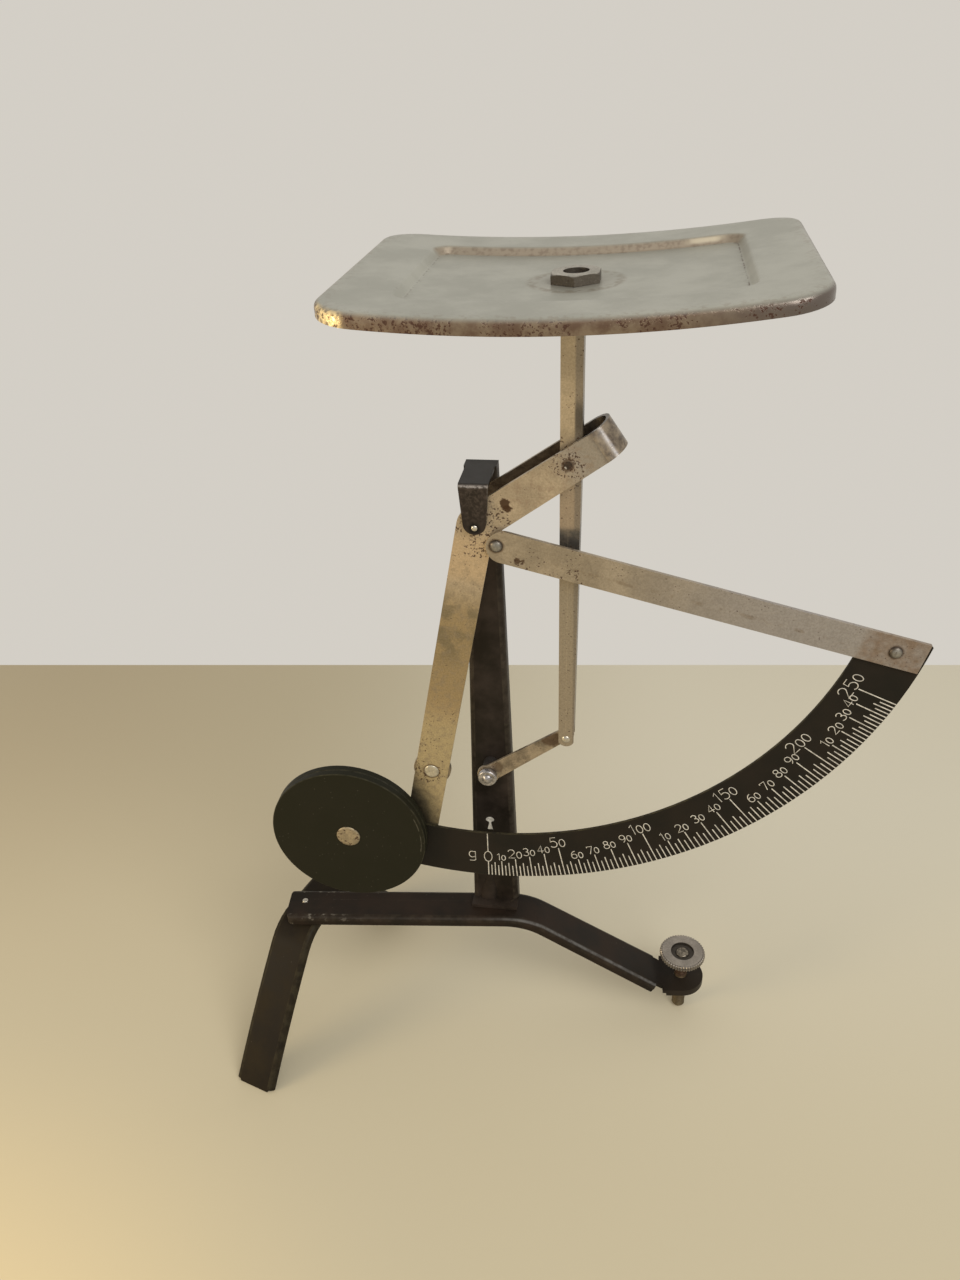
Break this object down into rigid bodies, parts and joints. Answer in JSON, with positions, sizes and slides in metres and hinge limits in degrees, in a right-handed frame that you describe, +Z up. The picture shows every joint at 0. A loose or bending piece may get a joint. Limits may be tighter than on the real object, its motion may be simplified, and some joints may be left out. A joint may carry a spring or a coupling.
{
  "type": "postal scale",
  "caption": "Quadrant letter balance: a pivoted lever with dial and disc weights carries a pan kept level by a link, on a three-point stand with levelling screw.",
  "frame": {"origin": "on the surface the scale stands on, under the middle of the whole outline", "axes": "+Z up; the dial faces -Y, towards the user; +X is to the user's right, the side of the dial's high numbers; the lever's pivots run along Y"},
  "size_m": [0.199, 0.0914, 0.258],
  "materials": {
    "nickel": "satin",
    "pan_nickel": "satin",
    "lacquer": "satin",
    "dial_black": "satin",
    "rivet_steel": "satin",
    "screw_bronze": "satin",
    "knurl_nickel": "satin"
  },
  "bodies": {
    "stand": {"base_bar": "lacquer", "post": "lacquer", "post_foot_rivets": "lacquer", "main_pivot_pin": "rivet_steel", "leg_rivet": "rivet_steel", "leg_washer": "rivet_steel", "link_stud": "rivet_steel", "link_spacer": "rivet_steel", "link_washer": "rivet_steel"},
    "lever": {"lever_strap": "nickel", "radial_bar": "nickel", "bar_washer": "rivet_steel", "bar_strap_rivet": "rivet_steel", "bar_dial_rivet": "rivet_steel", "dial_plate": "dial_black", "dial_arm_rivet": "rivet_steel", "front_weight": "dial_black", "rear_weight": "dial_black", "weight_rivet": "rivet_steel", "trim_weight": "nickel", "trim_rivet": "rivet_steel", "stem_pin": "rivet_steel"},
    "pan_carrier": {"pan_stem": "nickel", "stem_stud": "rivet_steel", "pan": "pan_nickel", "pan_nut": "rivet_steel", "link_pin": "rivet_steel"},
    "lower_link": {"lower_link": "nickel"},
    "cross_leg": {"cross_leg": "lacquer"},
    "levelling_screw": {"levelling_screw": "screw_bronze"},
    "screw_head": {"knurled_head": "knurl_nickel"}
  },
  "joints": [
    {"name": "lever_swing", "type": "hinge", "parent": "stand", "child": "lever", "pos_m": [-0.0163, -0.0037, 0.1915], "axis": [0, 1, 0], "range_deg": [-6, 70]},
    {"name": "pan_level", "type": "hinge", "parent": "lever", "child": "pan_carrier", "pos_m": [0.00719, -0.0037, 0.2085], "axis": [0, 1, 0], "range_deg": [-70, 6]},
    {"name": "link_swing", "type": "hinge", "parent": "stand", "child": "lower_link", "pos_m": [-0.0163, -0.0037, 0.1069], "axis": [0, 1, 0], "range_deg": [-6, 70]},
    {"name": "leg_fold", "type": "hinge", "parent": "stand", "child": "cross_leg", "pos_m": [-0.08019, -0.00571, 0.045], "axis": [0, 0, 1], "range_deg": [-66, 113]},
    {"name": "screw_travel", "type": "slide", "parent": "stand", "child": "levelling_screw", "axis": [0, 0, 1], "range_m": [-0.007, 0.007]},
    {"name": "head_turn", "type": "hinge", "parent": "levelling_screw", "child": "screw_head", "pos_m": [0.04661, 0.00762, 0.025], "axis": [0, 0, 1], "range_deg": [-3610, 3610]}
  ],
  "couplings": [
    {"joint": "pan_level", "follows": "lever_swing", "ratio": -1},
    {"joint": "link_swing", "follows": "lever_swing", "ratio": 1},
    {"joint": "head_turn", "follows": "screw_travel", "rad_per_m": 8976}
  ]
}
